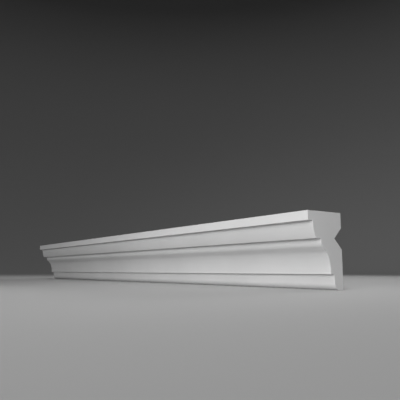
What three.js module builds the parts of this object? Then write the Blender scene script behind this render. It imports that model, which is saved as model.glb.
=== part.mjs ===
// Cornice length: one bar of cast plaster with a moulded front, cut square at both ends.
//
// Millimetres, +Z up. X runs along the length and the moulded front faces -Y. The back, which bears
// on the wall, lies in the plane Y = 0, and the top, which meets the ceiling, is level. The origin is
// on the back, in the middle of the broad band below the groove.

import * as THREE from 'three';

// In the section, reach is measured forward from the back and level upward from the foot.

// Overall sizes
const LENGTH = 1000;
const HEIGHT = 91;
const PROJECTION = 56.7;

// Fascia: the flat band at the top, which stands furthest forward
const FASCIA_HEIGHT = 11.4;

// Ovolo: the swelling band under the fascia, upright where it starts
const OVOLO_REACH = 49;
const OVOLO_RADIUS = 42;
const OVOLO_BOTTOM_LEVEL = 59.4;

// Ogee: a round nose, a short slope and a long hollow that is upright again at its foot
const NOSE_REACH = 35.6;
const NOSE_LEVEL = 55.4;
const NOSE_RADIUS = 8.1;
const OGEE_LEAN = THREE.MathUtils.degToRad(48);
const OGEE_STRAIGHT = 5.8;
const HOLLOW_REACH = 20.8;
const HOLLOW_LEVEL = 21;

// Toe: the lowest band, a small step that leans back a little and is rounded in to the foot
const TOE_REACH = 15;
const TOE_TOP_LEVEL = 18.3;
const TOE_LEAN = THREE.MathUtils.degToRad(3);
const TOE_ROUND_LEVEL = 7.6;
const TOE_RADIUS = 8.6;

// Groove: the V along the back that the fixing plaster keys into
const GROOVE_TOP_LEVEL = 72.7;
const GROOVE_FLOOR_LEVEL = 60.2;
const GROOVE_BOTTOM_LEVEL = 47.2;
const GROOVE_DEPTH = 12.6;

// Chords along each curve of the section
const OVOLO_CHORDS = 12;
const NOSE_CHORDS = 14;
const HOLLOW_CHORDS = 22;
const TOE_CHORDS = 12;

const UPRIGHT = 0;
const FASCIA_BOTTOM_LEVEL = HEIGHT - FASCIA_HEIGHT;
const ORIGIN_LEVEL = GROOVE_BOTTOM_LEVEL / 2;

const PLASTER = new THREE.MeshStandardMaterial({
  color: 0xeeeeec,
  roughness: 0.92,
  metalness: 0,
});

/**
 * A round that curls back towards the wall as it goes down from (reach, level). A lean is measured
 * from upright.
 */
function curlBack(reach, level, radius, firstLean, lastLean, chords) {
  const clockwise = true;
  const arc = new THREE.EllipseCurve(
    reach - radius * Math.cos(firstLean),
    level + radius * Math.sin(firstLean),
    radius,
    radius,
    -firstLean,
    -lastLean,
    clockwise,
  );
  return arc.getPoints(chords);
}

/** The lean that a round of this radius has come to once it has dropped by the given amount. */
function leanAfterDrop(drop, radius, firstLean) {
  return Math.asin(Math.sin(firstLean) + drop / radius);
}

/**
 * The ogee's hollow: part of an ellipse that leaves the slope at its top without a kink and ends
 * upright at the hollow's foot. With a rise and a recess between those two points, the ellipse's own
 * angle u at the top follows from 1 + 1 / cos(u) = tan(lean) * rise / recess.
 */
function hollow(top) {
  const rise = top.y - HOLLOW_LEVEL;
  const recess = top.x - HOLLOW_REACH;
  const cosine = 1 / (Math.tan(OGEE_LEAN) * rise / recess - 1);
  const angle = Math.acos(cosine);
  const acrossRadius = recess / (1 - cosine);
  const uprightRadius = rise / Math.sin(angle);
  const curve = new THREE.EllipseCurve(
    HOLLOW_REACH + acrossRadius,
    HOLLOW_LEVEL,
    acrossRadius,
    uprightRadius,
    Math.PI - angle,
    Math.PI,
  );
  return curve.getPoints(HOLLOW_CHORDS);
}

function ovoloPoints() {
  const lastLean = leanAfterDrop(FASCIA_BOTTOM_LEVEL - OVOLO_BOTTOM_LEVEL, OVOLO_RADIUS, UPRIGHT);
  return curlBack(OVOLO_REACH, FASCIA_BOTTOM_LEVEL, OVOLO_RADIUS, UPRIGHT, lastLean, OVOLO_CHORDS);
}

function ogeePoints() {
  const nose = curlBack(NOSE_REACH, NOSE_LEVEL, NOSE_RADIUS, UPRIGHT, OGEE_LEAN, NOSE_CHORDS);
  const downSlope = new THREE.Vector2(-Math.sin(OGEE_LEAN), -Math.cos(OGEE_LEAN));
  const hollowTop = nose.at(-1).clone().addScaledVector(downSlope, OGEE_STRAIGHT);
  return [new THREE.Vector2(NOSE_REACH, OVOLO_BOTTOM_LEVEL), ...nose, ...hollow(hollowTop)];
}

function toePoints() {
  const roundReach = TOE_REACH - (TOE_TOP_LEVEL - TOE_ROUND_LEVEL) * Math.tan(TOE_LEAN);
  const lastLean = leanAfterDrop(TOE_ROUND_LEVEL, TOE_RADIUS, TOE_LEAN);
  return [
    new THREE.Vector2(HOLLOW_REACH, TOE_TOP_LEVEL),
    new THREE.Vector2(TOE_REACH, TOE_TOP_LEVEL),
    ...curlBack(roundReach, TOE_ROUND_LEVEL, TOE_RADIUS, TOE_LEAN, lastLean, TOE_CHORDS),
  ];
}

function backPoints() {
  return [
    new THREE.Vector2(0, 0),
    new THREE.Vector2(0, GROOVE_BOTTOM_LEVEL),
    new THREE.Vector2(GROOVE_DEPTH, GROOVE_FLOOR_LEVEL),
    new THREE.Vector2(0, GROOVE_TOP_LEVEL),
    new THREE.Vector2(0, HEIGHT),
  ];
}

/** The closed section, from the fascia down the moulded front, along the foot and up the back. */
function section() {
  return new THREE.Shape([
    new THREE.Vector2(PROJECTION, HEIGHT),
    new THREE.Vector2(PROJECTION, FASCIA_BOTTOM_LEVEL),
    ...ovoloPoints(),
    ...ogeePoints(),
    ...toePoints(),
    ...backPoints(),
  ]);
}

/** The whole length: the section carried along X, with reach turned to -Y and level to +Z. */
function corniceLength() {
  const bar = new THREE.ExtrudeGeometry(section(), { depth: LENGTH, steps: 1, bevelEnabled: false });
  const mesh = new THREE.Mesh(bar, PLASTER);
  const turn = new THREE.Matrix4().makeBasis(
    new THREE.Vector3(0, -1, 0),
    new THREE.Vector3(0, 0, 1),
    new THREE.Vector3(-1, 0, 0),
  );
  mesh.name = 'cornice_length';
  mesh.quaternion.setFromRotationMatrix(turn);
  mesh.position.set(LENGTH / 2, 0, -ORIGIN_LEVEL);
  return mesh;
}

const cornice = new THREE.Group();
cornice.name = 'cornice';
cornice.add(corniceLength());

export default cornice;
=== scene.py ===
"""A length of cast plaster cornice: its fine surface, its finish, a plain studio and the camera.

Metres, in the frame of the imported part: X runs along the length, the moulded front faces -Y, the back
lies in the plane Y = 0 and +Z is up.
"""

import logging
import math
from dataclasses import dataclass
from enum import Enum
from functools import cached_property

import bpy
import numpy as np
from mathutils import Matrix, Vector


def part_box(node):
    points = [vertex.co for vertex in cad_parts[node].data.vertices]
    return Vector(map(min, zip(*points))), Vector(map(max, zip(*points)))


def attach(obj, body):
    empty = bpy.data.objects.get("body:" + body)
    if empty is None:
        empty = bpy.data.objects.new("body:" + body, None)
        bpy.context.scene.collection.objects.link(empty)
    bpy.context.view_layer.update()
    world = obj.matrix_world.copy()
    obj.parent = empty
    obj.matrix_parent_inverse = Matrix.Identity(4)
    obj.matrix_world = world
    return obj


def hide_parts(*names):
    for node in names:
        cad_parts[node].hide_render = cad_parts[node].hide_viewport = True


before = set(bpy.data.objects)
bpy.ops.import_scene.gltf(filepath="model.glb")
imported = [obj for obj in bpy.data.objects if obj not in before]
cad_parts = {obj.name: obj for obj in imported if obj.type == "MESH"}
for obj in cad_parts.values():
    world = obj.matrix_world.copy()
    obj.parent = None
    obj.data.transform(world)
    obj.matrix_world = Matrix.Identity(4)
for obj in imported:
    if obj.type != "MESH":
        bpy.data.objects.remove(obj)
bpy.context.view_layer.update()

LOG = logging.getLogger("cornice")
BAR_NODE = "cornice_length"
BODY = "root"
UPRIGHT = 0.0

Colour = tuple[float, float, float, float]
Place = tuple[float, float, float]
Socket = bpy.types.NodeSocket


class Face(Enum):
    """The faces that were not formed in the mould. The value names a mesh attribute, 0 to 1 at a point."""

    STRUCK = "struck"
    SAWN = "sawn"


class Side(Enum):
    """The four sides of the section's loop. The value is the side's place in the loop."""

    FRONT = 0
    FOOT = 1
    BACK = 2
    TOP = 3


def along(points: np.ndarray) -> np.ndarray:
    """The length run at each point of a polyline of complex points, from 0 at its first point."""
    return np.concatenate([[0.0], np.cumsum(np.abs(np.diff(points)))])


def turning(points: np.ndarray) -> np.ndarray:
    """The angle that a polyline turns through up to each point, left and right turns alike.

    Args:
        points: complex points, reach + 1j * level.

    Returns:
        One angle for each point.
    """
    heading = np.unwrap(np.angle(np.diff(points)))
    turned = np.concatenate([[0.0], np.cumsum(np.abs(np.diff(heading)))])
    return np.append(turned, turned[-1])


def smooth_step(share: np.ndarray) -> np.ndarray:
    """A share held between 0 and 1, w, that leaves both ends gently as w * w * (3 - 2 * w)."""
    held = np.clip(share, 0.0, 1.0)
    return held * held * (3.0 - 2.0 * held)


def soft_noise(u: np.ndarray, v: np.ndarray, cells: tuple[int, int], seed: int) -> np.ndarray:
    """Smooth random heights between 0 and 1 over a rectangle.

    A lattice of random numbers is read at (u, v), with the four nearest mixed by smooth steps in each
    direction. The lattice repeats in u.

    Args:
        u: places across the rectangle, 0 to 1.
        v: places along it, 0 to 1, of a shape that broadcasts with u.
        cells: lattice cells across and along.
        seed: the seed of the random numbers.

    Returns:
        The heights, in the broadcast shape.
    """
    rows, columns = cells
    lattice = np.random.default_rng(seed).random((rows, columns + 1))
    across = u * rows
    lengthwise = v * columns
    row = np.floor(across).astype(int)
    column = np.minimum(np.floor(lengthwise).astype(int), columns - 1)
    row_share = smooth_step(across - row)
    column_share = smooth_step(lengthwise - column)
    low = lattice[row % rows, column]
    high = lattice[(row + 1) % rows, column]
    low_next = lattice[row % rows, column + 1]
    high_next = lattice[(row + 1) % rows, column + 1]
    first = low + (high - low) * row_share
    second = low_next + (high_next - low_next) * row_share
    return first + (second - first) * column_share


def quads(numbers: np.ndarray) -> np.ndarray:
    """The four-cornered faces of a grid of point numbers, faces by four."""
    corners = [numbers[:-1, :-1], numbers[1:, :-1], numbers[1:, 1:], numbers[:-1, 1:]]
    return np.stack(corners, axis=-1).reshape(-1, 4)


def smooth_piece(
    name: str, points: np.ndarray, faces: np.ndarray | list[list[int]], material: bpy.types.Material
) -> bpy.types.Object:
    """Make a smooth-shaded mesh object at the origin and link it to the scene.

    Args:
        name: the name of the object and of its mesh.
        points: its points, one row of three numbers each.
        faces: the point numbers of each face.
        material: its material.

    Returns:
        The object.
    """
    mesh = bpy.data.meshes.new(name)
    mesh.from_pydata(points, [], faces)
    mesh.polygons.foreach_set("use_smooth", np.ones(len(mesh.polygons), dtype=bool))
    mesh.materials.append(material)
    piece = bpy.data.objects.new(name, mesh)
    bpy.context.scene.collection.objects.link(piece)
    return piece


@dataclass(frozen=True)
class CorniceSection:
    """The bar's section. Reach is measured forward from the back and level upward from the foot.

    Points of the section are complex numbers, reach + 1j * level, in metres. A lean is measured from
    upright, in radians.
    """

    height: float
    projection: float

    # Fascia: the flat band at the top, which stands furthest forward
    fascia_height: float = 0.0114

    # Ovolo: the swelling band under the fascia, upright where it starts
    ovolo_reach: float = 0.049
    ovolo_radius: float = 0.042
    ovolo_bottom_level: float = 0.0594

    # Ogee: a round nose, a short slope and a long hollow that is upright again at its foot
    nose_reach: float = 0.0356
    nose_level: float = 0.0554
    nose_radius: float = 0.0081
    ogee_lean: float = math.radians(48.0)
    ogee_straight: float = 0.0058
    hollow_reach: float = 0.0208
    hollow_level: float = 0.021

    # Toe: the lowest band, a small step that leans back a little and is rounded in to the foot
    toe_reach: float = 0.015
    toe_top_level: float = 0.0183
    toe_lean: float = math.radians(3.0)
    toe_round_level: float = 0.0076
    toe_radius: float = 0.0086

    # Groove: the V along the back that the fixing plaster keys into
    groove_top_level: float = 0.0727
    groove_floor_level: float = 0.0602
    groove_bottom_level: float = 0.0472
    groove_depth: float = 0.0126

    # Points along each curve
    curve_points: int = 120

    @property
    def fascia_bottom_level(self) -> float:
        """The level of the fascia's lower edge."""
        return self.height - self.fascia_height

    def curl_back(self, start: complex, radius: float, first_lean: float, last_lean: float) -> np.ndarray:
        """A round that curls back towards the wall as it goes down.

        Where it leans by t, a point is radius * (cos t, -sin t) from the round's centre.

        Args:
            start: the upper end of the round.
            radius: its radius.
            first_lean: how far it leans at the start.
            last_lean: how far it leans at its lower end.

        Returns:
            Points from the start downward.
        """
        lean = np.linspace(first_lean, last_lean, self.curve_points)
        return start + radius * (np.exp(-1j * lean) - np.exp(-1j * first_lean))

    def ovolo(self) -> np.ndarray:
        """The ovolo, a round from the fascia's lower edge to its own lower edge.

        Returns:
            Points from the top downward.
        """
        start = self.ovolo_reach + 1j * self.fascia_bottom_level
        drop = self.fascia_bottom_level - self.ovolo_bottom_level
        return self.curl_back(start, self.ovolo_radius, UPRIGHT, math.asin(drop / self.ovolo_radius))

    def ogee(self) -> np.ndarray:
        """The ogee: its nose, and the hollow that starts where the straight slope ends.

        Returns:
            Points from the nose downward.
        """
        start = self.nose_reach + 1j * self.nose_level
        nose = self.curl_back(start, self.nose_radius, UPRIGHT, self.ogee_lean)
        slope = -1j * self.ogee_straight * np.exp(-1j * self.ogee_lean)
        return np.concatenate([nose, self.hollow(nose[-1] + slope)])

    def hollow(self, top: complex) -> np.ndarray:
        """The ogee's hollow: part of an ellipse, upright at its foot, that leaves the slope with no kink.

        With a rise and a recess between its two ends, the ellipse's own angle u at the top follows
        from 1 + 1 / cos(u) = tan(lean) * rise / recess.

        Args:
            top: where the slope ends and the hollow starts.

        Returns:
            Points from the top downward.
        """
        rise = top.imag - self.hollow_level
        recess = top.real - self.hollow_reach
        cosine = 1.0 / (math.tan(self.ogee_lean) * rise / recess - 1.0)
        angle = math.acos(cosine)
        turn = np.linspace(angle, 0.0, self.curve_points)
        reach = self.hollow_reach + recess * (1.0 - np.cos(turn)) / (1.0 - cosine)
        level = self.hollow_level + rise * np.sin(turn) / math.sin(angle)
        return reach + 1j * level

    def toe(self) -> np.ndarray:
        """The toe: the top of its leaning face, and the round that starts where the face ends.

        Returns:
            Points from the top downward.
        """
        setback = (self.toe_top_level - self.toe_round_level) * math.tan(self.toe_lean)
        start = self.toe_reach - setback + 1j * self.toe_round_level
        last_lean = math.asin(math.sin(self.toe_lean) + self.toe_round_level / self.toe_radius)
        top = self.toe_reach + 1j * self.toe_top_level
        return np.append(top, self.curl_back(start, self.toe_radius, self.toe_lean, last_lean))

    def front(self) -> np.ndarray:
        """The moulded front with sharp arrises, each step given by its outer and its inner corner.

        Returns:
            Points from the top of the fascia down to the foot.
        """
        return np.concatenate([
            [self.projection + 1j * self.height],
            [self.projection + 1j * self.fascia_bottom_level],
            self.ovolo(),
            [self.nose_reach + 1j * self.ovolo_bottom_level],
            self.ogee(),
            [self.hollow_reach + 1j * self.toe_top_level],
            self.toe(),
        ])

    def back(self) -> np.ndarray:
        """The back with its groove.

        Returns:
            Points from the foot up to the ceiling.
        """
        return np.array([
            0.0,
            1j * self.groove_bottom_level,
            self.groove_depth + 1j * self.groove_floor_level,
            1j * self.groove_top_level,
            1j * self.height,
        ])


@dataclass(frozen=True)
class Grid:
    """How finely the bar's surface is divided.

    The section's loop has four sides: the front going down, the foot going back, the back going up
    and the top coming forward. Front and back have equal counts, and so have foot and top, so that
    each end is ruled from front to back. The corners belong to the front and to the back.

    Attributes:
        upright: points down the front, and down the back.
        across: points along the foot, and along the top.
        stations: sections along the bar.
        sample_step: the even step of the fine outline that all points are read from.
        turn_weight: the length that a turn of one radian counts for when points are spread.
        level_share: how much a run across counts beside a drop when front and back are matched.
        back_lag: how far the back's points lag behind the front's at half height, as a share.
    """

    upright: int = 240
    across: int = 30
    stations: int = 108
    sample_step: float = 0.00005
    turn_weight: float = 0.006
    level_share: float = 0.1
    back_lag: float = 0.02

    @property
    def inner(self) -> tuple[int, int]:
        """Rows and columns of the points inside the rim of an end."""
        return self.upright - 2, self.across - 2

    @property
    def back_start(self) -> int:
        """The number of the loop's first point on the back."""
        return self.upright + self.across - 2

    @property
    def top_start(self) -> int:
        """The number of the loop's first point on the top, past the corner."""
        return self.back_start + self.upright

    @property
    def loop(self) -> int:
        """Points round the section."""
        return self.top_start + self.across - 2


@dataclass(frozen=True)
class EasedSection:
    """The section with every arris eased, sampled as the grid asks.

    Attributes:
        section: the section with sharp arrises.
        grid: how finely it is sampled.
        easing: the width of the bell-shaped weight that the arrises are eased with.
        margin_easings: how many easings the front and back go on past their arrises, onto top and foot.
        flat_start: how far from an arris of the back or top the relief starts.
        flat_full: how far from it the relief is whole.
    """

    section: CorniceSection
    grid: Grid
    easing: float
    margin_easings: float = 3.0
    flat_start: float = 0.001
    flat_full: float = 0.006

    @cached_property
    def fine(self) -> tuple[np.ndarray, np.ndarray]:
        """The whole eased outline in even small steps, and where its four sides start.

        The sharp outline is averaged over a short stretch to each side with a bell-shaped weight,
        worked out as a product with exp(-(easing * k)^2 / 2) on the outline's frequencies k.

        Returns:
            The points round the outline, and the five step numbers where its sides start and end.
        """
        front = self.section.front()
        sharp = np.concatenate([front, self.section.back(), front[:1]])
        run = along(sharp)
        foot = len(front) - 1
        # Front and back start a margin before their first arris and end a margin past their last
        margin = self.margin_easings * self.easing * np.array([-1.0, 1.0, -1.0, 1.0, -1.0])
        corners = run[[0, foot, foot + 1, -2, -1]] + margin
        count = round(run[-1] / self.grid.sample_step)
        step = run[-1] / count
        points = np.interp(np.arange(count) * step, run, sharp)
        frequency = math.tau * np.fft.fftfreq(count, step)
        eased = np.fft.ifft(np.fft.fft(points) * np.exp(-0.5 * (self.easing * frequency) ** 2))
        return eased, np.round(corners / step).astype(int)

    def fine_side(self, side: Side) -> np.ndarray:
        """One side of the eased outline in small steps, with both its ends.

        Args:
            side: which side.

        Returns:
            The points in the loop's own direction.
        """
        points, starts = self.fine
        steps = np.arange(starts[side.value], starts[side.value + 1] + 1)
        return np.take(points, steps, mode="wrap")

    def descent(self, points: np.ndarray) -> np.ndarray:
        """How far down each point of a side is, from 0 at the top to 1 at the foot.

        It is the drop so far plus a little of the run across, so that soffits take some of it too.

        Args:
            points: a side's points from the top down.

        Returns:
            One share for each point.
        """
        steps = np.diff(points)
        down = np.maximum(-steps.imag, 0.0) + self.grid.level_share * np.abs(steps.real)
        share = np.concatenate([[0.0], np.cumsum(down)])
        return share / share[-1]

    def uprights(self) -> tuple[np.ndarray, np.ndarray]:
        """Matching points down the front and down the back.

        They are matched by their descent. The back's lags a little, by a half wave of the sine, so
        that no line from a soffit to the back dips out of the plaster. Points are then spread evenly
        over the length of both sides plus their turning, so that the arrises get the most.

        Returns:
            The front's points and the back's points, both from the top down.
        """
        front = self.fine_side(Side.FRONT)
        back = self.fine_side(Side.BACK)[::-1]
        front_share = self.descent(front)
        even = np.linspace(0.0, 1.0, len(back))
        lagging = even - self.grid.back_lag * np.sin(np.pi * even)
        back_share = np.interp(self.descent(back), lagging, even)
        share = np.unique(np.concatenate([front_share, back_share]))
        measure = sum(
            np.interp(share, own_share, along(points) + self.grid.turn_weight * turning(points))
            for own_share, points in ((front_share, front), (back_share, back))
        )
        chosen = np.interp(np.linspace(0.0, measure[-1], self.grid.upright), measure, share)
        return np.interp(chosen, front_share, front), np.interp(chosen, back_share, back)

    @cached_property
    def crossing_shares(self) -> np.ndarray:
        """Shares of the way across the foot or top: (1 - cos(pi * i / n)) / 2 at point i of n."""
        return 0.5 - 0.5 * np.cos(np.linspace(0.0, np.pi, self.grid.across))

    def crossing(self, side: Side) -> np.ndarray:
        """The flat foot or top, with points crowded towards its two ends.

        Args:
            side: the foot or the top.

        Returns:
            The points between its ends, in the loop's own direction.
        """
        flat = self.fine_side(side)
        return (flat[0] + (flat[-1] - flat[0]) * self.crossing_shares)[1:-1]

    @cached_property
    def loop(self) -> np.ndarray:
        """The sampled outline as one closed loop: front, foot, back and top."""
        front, back = self.uprights()
        return np.concatenate([front, self.crossing(Side.FOOT), back[::-1], self.crossing(Side.TOP)])

    @cached_property
    def run(self) -> np.ndarray:
        """The length run at each point of the loop, and at its first point once more at the end."""
        return along(np.append(self.loop, self.loop[0]))

    @cached_property
    def struck(self) -> np.ndarray:
        """1 at each point of the loop on the struck back and top, 0 on the moulded front and foot."""
        return np.where(np.arange(self.grid.loop) < self.grid.back_start, 0.0, 1.0)

    @cached_property
    def flatness(self) -> np.ndarray:
        """How far a point of the loop is from the arrises of the back and top, as a smooth step.

        Returns:
            One share for each point, 0 at an arris and 1 a few millimetres from it.
        """
        corners = np.append(self.section.back(), self.section.projection + 1j * self.section.height)
        nearest = np.argmin(np.abs(self.loop[None, :] - corners[:, None]), axis=1)
        apart = np.abs(self.run[None, :-1] - self.run[nearest][:, None])
        away = np.minimum(apart, self.run[-1] - apart).min(axis=0)
        return smooth_step((away - self.flat_start) / (self.flat_full - self.flat_start))

    @cached_property
    def inward(self) -> np.ndarray:
        """The direction into the plaster at each point of the loop, as complex numbers of length 1."""
        tangent = np.roll(self.loop, -1) - np.roll(self.loop, 1)
        return -1j * tangent / np.abs(tangent)


@dataclass(frozen=True)
class Relief:
    """Low relief on one kind of face, always into the plaster.

    Attributes:
        wave_depth: how deep the broad unevenness is.
        wave_cells: its lattice, round the section and along the bar.
        drag_depth: how deep the fine lines along the bar are.
        drag_cells: their lattice, round the section and along the bar.
        seed: the seed of the unevenness. The lines have the next one.
    """

    wave_depth: float
    wave_cells: tuple[int, int]
    drag_depth: float
    drag_cells: tuple[int, int]
    seed: int

    def depth(self, u: np.ndarray, v: np.ndarray) -> np.ndarray:
        """The depth of the relief: two soft noises, one broad and one drawn out along the bar.

        Args:
            u: places round the section, 0 to 1.
            v: places along the bar, 0 to 1.

        Returns:
            Depths in metres, in the broadcast shape of u and v.
        """
        wave = soft_noise(u, v, self.wave_cells, self.seed)
        drag = soft_noise(u, v, self.drag_cells, self.seed + 1)
        return self.wave_depth * wave + self.drag_depth * drag


class NodeSheet:
    """The node tree of one material, with short ways to add and join its nodes.

    The mixing node has sockets of one name for numbers and for colours, so its colours go by number.
    """

    MIX_FIRST_COLOUR = 6
    MIX_SECOND_COLOUR = 7
    MIX_COLOUR_RESULT = 2

    def __init__(self, name: str) -> None:
        """Start an empty material.

        Args:
            name: the material's name.
        """
        self.material = bpy.data.materials.new(name)
        self.material.use_nodes = True
        self.tree = self.material.node_tree
        self.tree.nodes.clear()

    def add(
        self, kind: str, inputs: dict[str | int, object] | None = None, **settings: object
    ) -> bpy.types.Node:
        """Add a node.

        Args:
            kind: the node's type name.
            inputs: input names or numbers, each with a constant or an output socket to join.
            settings: the node's own properties.

        Returns:
            The node.
        """
        node = self.tree.nodes.new(kind)
        for name, value in settings.items():
            setattr(node, name, value)
        for name, value in (inputs or {}).items():
            if isinstance(value, Socket):
                self.tree.links.new(value, node.inputs[name])
            else:
                node.inputs[name].default_value = value
        return node

    def attribute(self, face: Face) -> Socket:
        """How far the place is on one kind of face, 0 to 1."""
        return self.add("ShaderNodeAttribute", attribute_name=face.value).outputs["Fac"]

    def noise(self, place: Socket, per_metre: float, detail: float) -> Socket:
        """The grey output of a noise texture with that many features to the metre."""
        texture = self.add("ShaderNodeTexNoise", {"Vector": place, "Scale": per_metre, "Detail": detail})
        return texture.outputs["Fac"]

    def span(self, value: Socket, reading: tuple[float, float], becomes: tuple[float, float]) -> Socket:
        """A value carried from one range to another and held at its ends.

        Args:
            value: the value.
            reading: the two ends of the range that it comes from.
            becomes: what those two ends become.

        Returns:
            The carried value.
        """
        node = self.add("ShaderNodeMapRange", {
            "Value": value,
            "From Min": reading[0],
            "From Max": reading[1],
            "To Min": becomes[0],
            "To Max": becomes[1],
        })
        return node.outputs["Result"]

    def arithmetic(self, operation: str, first: Socket, second: Socket | float) -> Socket:
        """Two values joined by one operation of arithmetic."""
        return self.add("ShaderNodeMath", {0: first, 1: second}, operation=operation).outputs["Value"]

    def blend(self, share: Socket, first: Socket | Colour, second: Socket | Colour) -> Socket:
        """A colour that goes from the first to the second as the share goes from 0 to 1."""
        inputs = {0: share, self.MIX_FIRST_COLOUR: first, self.MIX_SECOND_COLOUR: second}
        return self.add("ShaderNodeMix", inputs, data_type="RGBA").outputs[self.MIX_COLOUR_RESULT]

    def finish(self, shader: bpy.types.Node) -> bpy.types.Material:
        """Join the shader to the material's output and hand the material over."""
        self.add("ShaderNodeOutputMaterial", {"Surface": shader.outputs[0]})
        return self.material


@dataclass(frozen=True)
class PlasterFinish:
    """White cast plaster: matte and finely grained, faintly clouded, pitted and duller where it was struck.

    Attributes:
        pale: the lighter of the two tones that cloud the surface.
        deep: the darker of them.
        struck_tone: the tone of the struck back and top, where the plaster dries less evenly.
        painted_pit_shade: painted shade, the darker tone painted towards the middle of an air pit where
            shade falls.
        specular: the strength of the plaster's faint gloss.
        roughness: the least and the greatest roughness.
        clouds_per_metre: how many clouds of tone there are to the metre.
        cloud_detail: how ragged the clouds are.
        cloud_range: the readings of their noise that are wholly deep and wholly pale.
        stains_per_metre: how many patches of the struck tone there are to the metre.
        stain_detail: how ragged the patches are.
        stain_range: the readings of their noise between which a patch grows.
        stain_strength: the least and the greatest share of the struck tone.
        grains_per_metre: how many grains there are to the metre.
        grain_detail: how ragged the grains are.
        grain_range: the readings of their noise that are least and most rough.
        grain_depth: the height of the grain.
        pit_cells_per_metre: how many cells there are to the metre that may hold an air pit.
        pit_share: the share of those cells that hold one.
        pit_radius: the radius of a pit, as a share of its cell.
        pit_depth: the depth of the air pits.
        saw_lines_per_metre: how many lines the saw left to the metre on the ends.
        saw_lean: how far those lines lean.
        saw_waver: how far they waver.
        saw_detail: how ragged the wavering is.
        saw_waver_scale: how fine the wavering is.
        saw_depth: the depth of the saw's lines.
        wave_radians: the radians that the wave texture runs through in one metre.
        bump_strength: how much of these heights the light sees.
        height_unit: the metres that one unit of height stands for.
    """

    pale: Colour = (0.87, 0.87, 0.87, 1.0)
    deep: Colour = (0.83, 0.83, 0.83, 1.0)
    struck_tone: Colour = (0.78, 0.778, 0.77, 1.0)
    # Painted shade: the pits are darkened in colour to stand for the shade that falls in them
    painted_pit_shade: Colour = (0.6, 0.592, 0.575, 1.0)
    specular: float = 0.3
    roughness: tuple[float, float] = (0.84, 0.96)
    clouds_per_metre: float = 14.0
    cloud_detail: float = 5.0
    cloud_range: tuple[float, float] = (0.35, 0.65)
    stains_per_metre: float = 42.0
    stain_detail: float = 6.0
    stain_range: tuple[float, float] = (0.35, 0.7)
    stain_strength: tuple[float, float] = (0.15, 0.9)
    grains_per_metre: float = 900.0
    grain_detail: float = 3.0
    grain_range: tuple[float, float] = (0.3, 0.7)
    grain_depth: float = 0.00002
    pit_cells_per_metre: float = 120.0
    pit_share: float = 0.3
    pit_radius: float = 0.13
    pit_depth: float = 0.0006
    saw_lines_per_metre: float = 380.0
    saw_lean: float = math.radians(24.0)
    saw_waver: float = 3.0
    saw_detail: float = 2.0
    saw_waver_scale: float = 0.4
    saw_depth: float = 0.00002
    wave_radians: float = 20.0
    bump_strength: float = 0.6
    height_unit: float = 1.0

    def material(self, name: str) -> bpy.types.Material:
        """The finish as a material.

        Args:
            name: the material's name.

        Returns:
            The material.
        """
        sheet = NodeSheet(name)
        place = sheet.add("ShaderNodeTexCoord").outputs["Object"]
        struck = sheet.attribute(Face.STRUCK)
        grain = sheet.noise(place, self.grains_per_metre, self.grain_detail)
        pits = sheet.arithmetic("MULTIPLY", struck, self.pits(sheet, place))
        saw = sheet.arithmetic("MULTIPLY", sheet.attribute(Face.SAWN), self.saw_lines(sheet, place))
        shader = sheet.add("ShaderNodeBsdfPrincipled", {
            "Base Color": self.tone(sheet, place, struck, pits),
            "Roughness": sheet.span(grain, self.grain_range, self.roughness),
            "Normal": self.surface(sheet, grain, pits, saw),
            "Specular IOR Level": self.specular,
        })
        return sheet.finish(shader)

    def pits(self, sheet: NodeSheet, place: Socket) -> Socket:
        """Air pits: 1 in the middle of some random cells, falling to 0 at the pit's rim.

        Args:
            sheet: the material's nodes.
            place: the coordinates to work in.

        Returns:
            How deep in a pit the place is, 0 to 1.
        """
        cells = sheet.add("ShaderNodeTexVoronoi", {"Vector": place, "Scale": self.pit_cells_per_metre})
        hollow = sheet.span(cells.outputs["Distance"], (0.0, self.pit_radius), (1.0, 0.0))
        chance = sheet.add("ShaderNodeSeparateColor", {0: cells.outputs["Color"]}).outputs[0]
        held = sheet.arithmetic("LESS_THAN", chance, self.pit_share)
        return sheet.arithmetic("MULTIPLY", hollow, held)

    def saw_lines(self, sheet: NodeSheet, place: Socket) -> Socket:
        """The saw's lines: leaning waves, a little unsteady.

        Args:
            sheet: the material's nodes.
            place: the coordinates to work in.

        Returns:
            The waves, 0 to 1.
        """
        leaning = sheet.add("ShaderNodeMapping", {"Vector": place, "Rotation": (self.saw_lean, 0.0, 0.0)})
        waves = sheet.add("ShaderNodeTexWave", {
            "Vector": leaning.outputs[0],
            "Scale": math.tau * self.saw_lines_per_metre / self.wave_radians,
            "Distortion": self.saw_waver,
            "Detail": self.saw_detail,
            "Detail Scale": self.saw_waver_scale,
        }, bands_direction="Z")
        return waves.outputs["Fac"]

    def tone(self, sheet: NodeSheet, place: Socket, struck: Socket, pits: Socket) -> Socket:
        """The plaster's colour: soft clouds between two near whites, a duller struck face and painted shade
        in the pits.

        Args:
            sheet: the material's nodes.
            place: the coordinates to work in.
            struck: how far the place is on a struck face.
            pits: how deep in a pit it is.

        Returns:
            The colour.
        """
        cloud_noise = sheet.noise(place, self.clouds_per_metre, self.cloud_detail)
        stain_noise = sheet.noise(place, self.stains_per_metre, self.stain_detail)
        clouds = sheet.span(cloud_noise, self.cloud_range, (0.0, 1.0))
        stains = sheet.span(stain_noise, self.stain_range, self.stain_strength)
        cast = sheet.blend(clouds, self.deep, self.pale)
        dulled = sheet.blend(sheet.arithmetic("MULTIPLY", struck, stains), cast, self.struck_tone)
        # Painted shade: the colour darkens towards the middle of each pit
        return sheet.blend(pits, dulled, self.painted_pit_shade)

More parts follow.
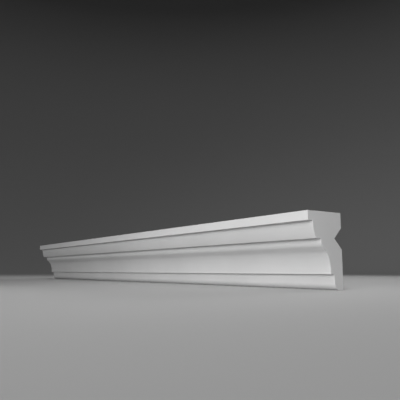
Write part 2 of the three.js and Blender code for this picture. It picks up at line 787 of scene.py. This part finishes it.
    def surface(self, sheet: NodeSheet, grain: Socket, pits: Socket, saw: Socket) -> Socket:
        """The fine surface, a sum of heights: the grain and the saw's lines, less the pits.

        Args:
            sheet: the material's nodes.
            grain: the grain's height, 0 to 1.
            pits: the pits' depth, 0 to 1.
            saw: the height of the saw's lines, 0 to 1.

        Returns:
            The bumped normal.
        """
        rise = sheet.arithmetic("MULTIPLY", grain, self.grain_depth)
        ridges = sheet.arithmetic("MULTIPLY", saw, self.saw_depth)
        sunk = sheet.arithmetic("MULTIPLY", pits, self.pit_depth)
        heights = sheet.arithmetic("SUBTRACT", sheet.arithmetic("ADD", rise, ridges), sunk)
        bump = sheet.add("ShaderNodeBump", {
            "Height": heights,
            "Strength": self.bump_strength,
            "Distance": self.height_unit,
        })
        return bump.outputs["Normal"]


@dataclass(frozen=True)
class PaperFinish:
    """Plain pale paper, see-through from below.

    Attributes:
        tone: the paper's tone, as the camera sees it.
        returned_tone: its tone for the light that it throws back onto the bar, half as strong.
    """

    tone: Colour = (0.55, 0.55, 0.55, 1.0)
    returned_tone: Colour = (0.275, 0.275, 0.275, 1.0)

    def material(self, name: str) -> bpy.types.Material:
        """The finish as a material.

        Args:
            name: the material's name.

        Returns:
            The material.
        """
        sheet = NodeSheet(name)
        returned = sheet.add("ShaderNodeLightPath").outputs["Is Diffuse Ray"]
        paper = sheet.add("ShaderNodeBsdfDiffuse", {
            "Color": sheet.blend(returned, self.tone, self.returned_tone),
        })
        clear = sheet.add("ShaderNodeBsdfTransparent")
        below = sheet.add("ShaderNodeNewGeometry").outputs["Backfacing"]
        either = sheet.add("ShaderNodeMixShader", {0: below, 1: paper.outputs[0], 2: clear.outputs[0]})
        return sheet.finish(either)


@dataclass
class CorniceLength:
    """The whole bar: its eased section carried along X, closed by a patch at each sawn end.

    Attributes:
        lowest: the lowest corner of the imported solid's box.
        highest: its highest corner.
        grid: how finely the surface is divided.
        easing: how far the long arrises are eased.
        end_easing: the radius of the arrises round the ends.
        end_steps: the sections that each of those is made of.
        relief_fade: how far from an end the relief has its full depth.
        moulded_relief: the relief on the front and foot.
        struck_relief: the relief on the back and top.
        finish: the plaster.
    """

    lowest: Vector
    highest: Vector
    grid: Grid = Grid()
    easing: float = 0.0002
    end_easing: float = 0.00012
    end_steps: int = 5
    relief_fade: float = 0.02
    moulded_relief: Relief = Relief(
        wave_depth=0.00006,
        wave_cells=(9, 14),
        drag_depth=0.00002,
        drag_cells=(90, 6),
        seed=11,
    )
    struck_relief: Relief = Relief(
        wave_depth=0.00016,
        wave_cells=(12, 26),
        drag_depth=0.00008,
        drag_cells=(150, 12),
        seed=13,
    )
    finish: PlasterFinish = PlasterFinish()

    @cached_property
    def outline(self) -> EasedSection:
        """The eased section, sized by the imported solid's box."""
        section = CorniceSection(self.highest.z - self.lowest.z, self.highest.y - self.lowest.y)
        return EasedSection(section, self.grid, self.easing)

    def stations(self) -> tuple[np.ndarray, np.ndarray]:
        """Places along X, and how far the loop draws in at each to ease the end arrises.

        Near an end the arris is a quarter circle: at angle t the place is r * (1 - sin t) from the
        end and the loop is drawn in by r * (1 - cos t).

        Returns:
            The places, and the amounts that the loop draws in.
        """
        turn = np.linspace(0.5 * np.pi, 0.0, self.end_steps)
        from_end = self.end_easing * (1.0 - np.sin(turn))
        inset = self.end_easing * (1.0 - np.cos(turn))
        start = self.lowest.x + from_end
        end = self.highest.x - from_end[::-1]
        middle = np.linspace(start[-1], end[0], self.grid.stations - 2 * (self.end_steps - 1))
        place = np.concatenate([start[:-1], middle, end[1:]])
        drawn_in = np.concatenate([inset[:-1], np.zeros(len(middle)), inset[-2::-1]])
        return place, drawn_in

    def relief(self, place: np.ndarray) -> np.ndarray:
        """The depth of the low relief at every station and every point of the loop.

        It fades out towards both ends by a smooth step, so that the ends are ruled from even rims.

        Args:
            place: the stations along X.

        Returns:
            Depths in metres, stations by loop points.
        """
        run = self.outline.run
        struck = self.outline.struck
        u = (run[:-1] / run[-1])[None, :]
        v = ((place - place[0]) / (place[-1] - place[0]))[:, None]
        moulded_depth = (1.0 - struck) * self.moulded_relief.depth(u, v)
        struck_depth = struck * self.outline.flatness * self.struck_relief.depth(u, v)
        fade = smooth_step(np.minimum(place - place[0], place[-1] - place) / self.relief_fade)
        return fade[:, None] * (moulded_depth + struck_depth)

    def sides(self) -> np.ndarray:
        """The bar's long faces: the loop at every station, moved in by end easing and relief.

        Returns:
            Points, stations by loop points by three.
        """
        place, drawn_in = self.stations()
        depth = drawn_in[:, None] + self.relief(place)
        section = self.outline.loop + self.outline.inward * depth
        x = np.broadcast_to(place[:, None], section.shape)
        return np.stack([x, self.highest.y - section.real, self.lowest.z + section.imag], axis=-1)

    def rim_numbers(self) -> np.ndarray:
        """The loop's point numbers laid out as the edge of an end's grid.

        Returns:
            Point numbers, top to foot by front to back, with 0 inside the rim.
        """
        grid = self.grid
        numbers = np.zeros((grid.upright, grid.across), dtype=int)
        numbers[:, 0] = np.arange(grid.upright)
        numbers[-1, 1:-1] = np.arange(grid.upright, grid.back_start)
        numbers[:, -1] = np.arange(grid.back_start, grid.top_start)[::-1]
        numbers[0, 1:-1] = np.arange(grid.top_start, grid.loop)[::-1]
        return numbers

    def end_patch(self, rim: np.ndarray) -> np.ndarray:
        """The inner points of an end: straight lines ruled from the front of its rim to the back.

        At a share t of the way across, a point is (1 - t) * front + t * back.

        Args:
            rim: the loop at that end, points by three.

        Returns:
            The points inside the rim, row by row, as one list of three numbers each.
        """
        numbers = self.rim_numbers()[1:-1]
        front = rim[numbers[:, 0]][:, None, :]
        back = rim[numbers[:, -1]][:, None, :]
        t = self.outline.crossing_shares[None, 1:-1, None]
        return ((1.0 - t) * front + t * back).reshape(-1, 3)

    def faces(self) -> np.ndarray:
        """Every face of the closed bar, pointing outwards.

        Returns:
            Point numbers, faces by four.
        """
        stations, loop = self.grid.stations, self.grid.loop
        ring = np.arange(stations * loop).reshape(stations, loop)
        long_faces = quads(np.concatenate([ring, ring[:, :1]], axis=1))[:, ::-1]
        inner = np.arange(math.prod(self.grid.inner)).reshape(self.grid.inner)
        first = self.rim_numbers()
        last = first + (stations - 1) * loop
        first[1:-1, 1:-1] = stations * loop + inner
        last[1:-1, 1:-1] = first[1:-1, 1:-1] + inner.size
        return np.concatenate([long_faces, quads(first)[:, ::-1], quads(last)])

    def face_attributes(self) -> dict[Face, np.ndarray]:
        """How far each point of the mesh is on a struck face and on a sawn end.

        Returns:
            For each kind of face, one share for each point: the long faces first, then both ends.
        """
        drawn_in = self.stations()[1]
        on_end = np.repeat(drawn_in / self.end_easing, self.grid.loop)
        struck = np.tile(self.outline.struck, self.grid.stations)
        ends = 2 * math.prod(self.grid.inner)
        return {
            Face.STRUCK: np.concatenate([struck * (1.0 - on_end), np.zeros(ends)]),
            Face.SAWN: np.concatenate([on_end, np.ones(ends)]),
        }

    def build(self) -> bpy.types.Object:
        """Make the bar's mesh, dress it and set it in the frame.

        Returns:
            The bar.
        """
        sides = self.sides()
        points = np.concatenate([sides.reshape(-1, 3), self.end_patch(sides[0]), self.end_patch(sides[-1])])
        bar = smooth_piece("plaster_bar", points, self.faces(), self.finish.material("cast_plaster"))
        for face, share in self.face_attributes().items():
            attribute = bar.data.attributes.new(face.value, "FLOAT", "POINT")
            attribute.data.foreach_set("value", share.astype(np.float32))
        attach(bar, BODY)
        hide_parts(BAR_NODE)
        return bar


@dataclass(frozen=True)
class Sweep:
    """The pale floor and backdrop, round about the bar: a flat disc whose edge bends up into a wall.

    Attributes:
        floor_level: the level of the floor.
        radius: the radius of the wall.
        bend_radius: the radius of the bend between floor and wall.
        wall_height: the height of the wall above the bend.
        rings: the rings of points from the middle of the floor to the top of the wall.
        ring_power: how the rings crowd towards the middle, a power of their share of the way.
        spokes: the points of each ring.
        finish: the paper.
    """

    floor_level: float
    radius: float = 3.6
    bend_radius: float = 1.3
    wall_height: float = 2.0
    rings: int = 60
    ring_power: float = 1.5
    spokes: int = 96
    finish: PaperFinish = PaperFinish()

    def profile(self) -> tuple[np.ndarray, np.ndarray]:
        """The sweep's profile: flat, then a quarter circle upward, then upright.

        At an angle t of the bend, the profile is bend_radius * sin t further out than the flat and
        bend_radius * (1 - cos t) above it.

        Returns:
            The radius and the level of each ring.
        """
        flat = self.radius - self.bend_radius
        bend = 0.5 * np.pi * self.bend_radius
        run = np.linspace(0.0, 1.0, self.rings) ** self.ring_power * (flat + bend + self.wall_height)
        turn = np.clip((run - flat) / self.bend_radius, 0.0, 0.5 * np.pi)
        upright = np.maximum(run - flat - bend, 0.0)
        radius = np.minimum(run, flat) + self.bend_radius * np.sin(turn)
        level = self.floor_level + self.bend_radius * (1.0 - np.cos(turn)) + upright
        return radius, level

    def build(self) -> bpy.types.Object:
        """Turn the profile about the Z axis into the sweep.

        Returns:
            The sweep.
        """
        radius, level = self.profile()
        angle = np.linspace(0.0, math.tau, self.spokes, endpoint=False)
        x = radius[1:, None] * np.cos(angle)
        y = radius[1:, None] * np.sin(angle)
        z = np.broadcast_to(level[1:, None], x.shape)
        middle = [[0.0, 0.0, self.floor_level]]
        points = np.concatenate([middle, np.stack([x, y, z], axis=-1).reshape(-1, 3)])
        ring = 1 + np.arange(x.size).reshape(x.shape)
        ring = np.concatenate([ring, ring[:, :1]], axis=1)
        fan = np.stack([np.zeros(self.spokes, dtype=int), ring[0, :-1], ring[0, 1:]], axis=-1)
        faces = fan.tolist() + quads(ring).tolist()
        sweep = smooth_piece("sweep", points, faces, self.finish.material("pale_sweep"))
        return sweep


@dataclass(frozen=True)
class SoftLight:
    """A soft light: a rectangle that points at a target and shines within a cone.

    Attributes:
        name: the light's name.
        centre: where it hangs.
        target: what it points at.
        width: its width.
        height: its height.
        spread: the cone's full angle, in degrees.
        power: its power in watts.
    """

    name: str
    centre: Place
    target: Place
    width: float
    height: float
    spread: float
    power: float

    def build(self) -> bpy.types.Object:
        """Hang the light, turned to its target and unseen by the camera.

        Returns:
            The light.
        """
        lamp = bpy.data.lights.new(self.name, "AREA")
        lamp.shape = "RECTANGLE"
        lamp.size = self.width
        lamp.size_y = self.height
        lamp.spread = math.radians(self.spread)
        lamp.energy = self.power
        light = bpy.data.objects.new(self.name, lamp)
        aim = Vector(self.target) - Vector(self.centre)
        turn = aim.to_track_quat("-Z", "Y").to_matrix().to_4x4()
        light.matrix_world = Matrix.Translation(self.centre) @ turn
        light.visible_camera = False
        bpy.context.scene.collection.objects.link(light)
        return light


@dataclass(frozen=True)
class StudioLight:
    """The light of the studio: soft lights about the bar and an even, dim light from all round.

    Attributes:
        lights: the soft lights.
        ambient_tone: the colour of the even light.
        ambient: its strength.
    """

    lights: tuple[SoftLight, ...] = (
        SoftLight(
            name="key",
            centre=(0.538, -0.517, 0.973),
            target=(0.35, 0.0, 0.02),
            width=0.6,
            height=0.6,
            spread=60.0,
            power=0.41,
        ),
        SoftLight(
            name="low_key",
            centre=(1.033, -0.814, 0.305),
            target=(0.35, 0.0, 0.02),
            width=0.6,
            height=0.6,
            spread=60.0,
            power=0.885,
        ),
        SoftLight(
            name="front_fill",
            centre=(0.2, -2.2, 0.45),
            target=(0.1, 0.0, 0.03),
            width=2.0,
            height=0.7,
            spread=60.0,
            power=1.61,
        ),
        SoftLight(
            name="back_fill",
            centre=(-0.3, 2.2, 0.8),
            target=(0.0, 0.0, 0.02),
            width=1.6,
            height=0.5,
            spread=50.0,
            power=3.0,
        ),
        SoftLight(
            name="overhead",
            centre=(0.0, 0.2, 2.6),
            target=(0.0, 0.2, 0.0),
            width=2.8,
            height=2.8,
            spread=180.0,
            power=20.0,
        ),
    )
    ambient_tone: Colour = (1.0, 1.0, 1.0, 1.0)
    ambient: float = 0.03

    def build(self) -> list[bpy.types.Object]:
        """Hang the soft lights and set the even light of the room.

        Returns:
            The soft lights.
        """
        world = bpy.data.worlds.new("room")
        world.use_nodes = True
        background = world.node_tree.nodes["Background"]
        background.inputs["Color"].default_value = self.ambient_tone
        background.inputs["Strength"].default_value = self.ambient
        bpy.context.scene.world = world
        return [light.build() for light in self.lights]


@dataclass(frozen=True)
class PhotoCamera:
    """The camera where the photograph was taken from, low in front of the near end.

    Attributes:
        floor_level: the level that the bar stands on.
        near_end: where the bar's near end is along X.
        past_end: how far past the near end the camera stands.
        before_back: how far in front of the bar's back it stands.
        above_floor: how high it stands above the floor.
        azimuth: how far it is turned from +Y towards -X.
        tilt: how far it looks up.
        lens_mm: the focal length of its lens, in millimetres.
        sensor_mm: the width of its sensor, in millimetres.
        sight: the nearest and the furthest that it sees.
    """

    floor_level: float
    near_end: float
    past_end: float = 0.3782
    before_back: float = 0.4697
    above_floor: float = 0.0231
    azimuth: float = math.radians(55.095)
    tilt: float = math.radians(8.247)
    lens_mm: float = 43.59
    sensor_mm: float = 36.0
    sight: tuple[float, float] = (0.01, 50.0)

    def build(self) -> bpy.types.Object:
        """Set the camera up, looking along the bar and a little up.

        Returns:
            The camera.
        """
        camera = bpy.data.objects.new("camera", bpy.data.cameras.new("camera"))
        camera.data.lens = self.lens_mm
        camera.data.sensor_width = self.sensor_mm
        camera.data.clip_start, camera.data.clip_end = self.sight
        camera.location = (
            self.near_end + self.past_end,
            -self.before_back,
            self.floor_level + self.above_floor,
        )
        camera.rotation_euler = (0.5 * math.pi + self.tilt, 0.0, self.azimuth)
        bpy.context.scene.collection.objects.link(camera)
        bpy.context.scene.camera = camera
        return camera


def main() -> None:
    """Build the camera, the studio and the bar, and report each piece."""
    logging.basicConfig(level=logging.INFO, format="%(name)s: %(message)s")
    bpy.context.scene.view_settings.view_transform = "Standard"
    lowest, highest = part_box(BAR_NODE)
    camera = PhotoCamera(floor_level=lowest.z, near_end=highest.x).build()
    LOG.info("%s at %s", camera.name, tuple(round(value, 4) for value in camera.location))
    sweep = Sweep(floor_level=lowest.z).build()
    LOG.info("%s: %d points, %d faces", sweep.name, len(sweep.data.vertices), len(sweep.data.polygons))
    for light in StudioLight().build():
        LOG.info("%s: %.3g W", light.name, light.data.energy)
    bar = CorniceLength(lowest, highest).build()
    LOG.info("%s: %d points, %d faces", bar.name, len(bar.data.vertices), len(bar.data.polygons))


if __name__ == "__main__":
    main()
